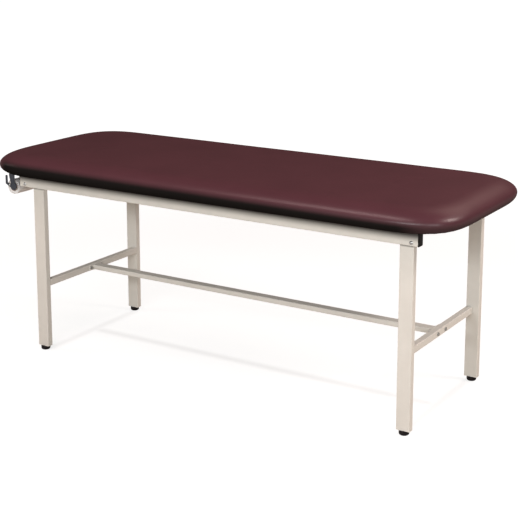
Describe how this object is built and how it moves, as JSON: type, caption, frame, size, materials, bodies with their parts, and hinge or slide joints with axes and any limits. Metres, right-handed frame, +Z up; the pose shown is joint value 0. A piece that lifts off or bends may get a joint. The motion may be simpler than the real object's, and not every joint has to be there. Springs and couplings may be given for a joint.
{
  "type": "treatment table",
  "caption": "Flat treatment table: crowned upholstered top on a straight-legged tube frame with cross and long stretchers, and a paper roll hung under the head end.",
  "frame": {"origin": "on the floor, below the middle of the cushioned top", "axes": "+X along the table to the foot end, -Y to the front, +Z up; the paper roll hangs at the -X end"},
  "size_m": [1.981, 0.762, 0.792],
  "materials": {
    "plywood": "matte",
    "foam": "matte",
    "vinyl": "satin",
    "black_lining": "matte",
    "frame_paint": "satin",
    "black_plastic": "satin",
    "zinc": "satin",
    "dark_zinc": "satin",
    "black_rubber": "matte",
    "bracket_paint": "satin",
    "plated_rod": "polished",
    "cardboard": "matte",
    "paper": "matte"
  },
  "bodies": {
    "frame": {"deck_board": "plywood", "foam_pad": "foam", "vinyl_cover": "vinyl", "dust_cover": "black_lining", "front_rail": "frame_paint", "rear_rail": "frame_paint", "head_cross_rail": "frame_paint", "foot_cross_rail": "frame_paint", "rail_caps": "black_plastic", "rail_angles": "frame_paint", "rail_bolts": "zinc", "rail_nuts": "zinc", "head_front_leg": "frame_paint", "head_rear_leg": "frame_paint", "foot_front_leg": "frame_paint", "foot_rear_leg": "frame_paint", "leg_end_plates": "frame_paint", "head_stretcher": "frame_paint", "foot_stretcher": "frame_paint", "long_stretcher": "frame_paint", "head_end_plate": "frame_paint", "foot_end_plate": "frame_paint", "stretcher_bolts": "dark_zinc", "stretcher_nuts": "dark_zinc", "head_front_foot": "black_rubber", "head_rear_foot": "black_rubber", "foot_front_foot": "black_rubber", "foot_rear_foot": "black_rubber", "foot_screws": "zinc", "deck_screws": "zinc", "front_roll_bracket": "bracket_paint", "rear_roll_bracket": "bracket_paint"},
    "rod": {"roll_rod": "plated_rod"},
    "roll": {"roll_core": "cardboard", "paper_roll": "paper"}
  },
  "joints": [
    {"name": "rod_lift", "type": "slide", "parent": "frame", "child": "rod", "axis": [-0.2419, 0, 0.9703], "range_m": [0, 0.034]},
    {"name": "roll_spin", "type": "hinge", "parent": "rod", "child": "roll", "pos_m": [-0.92395, 0, 0.64061], "axis": [0, 1, 0], "continuous": true}
  ]
}
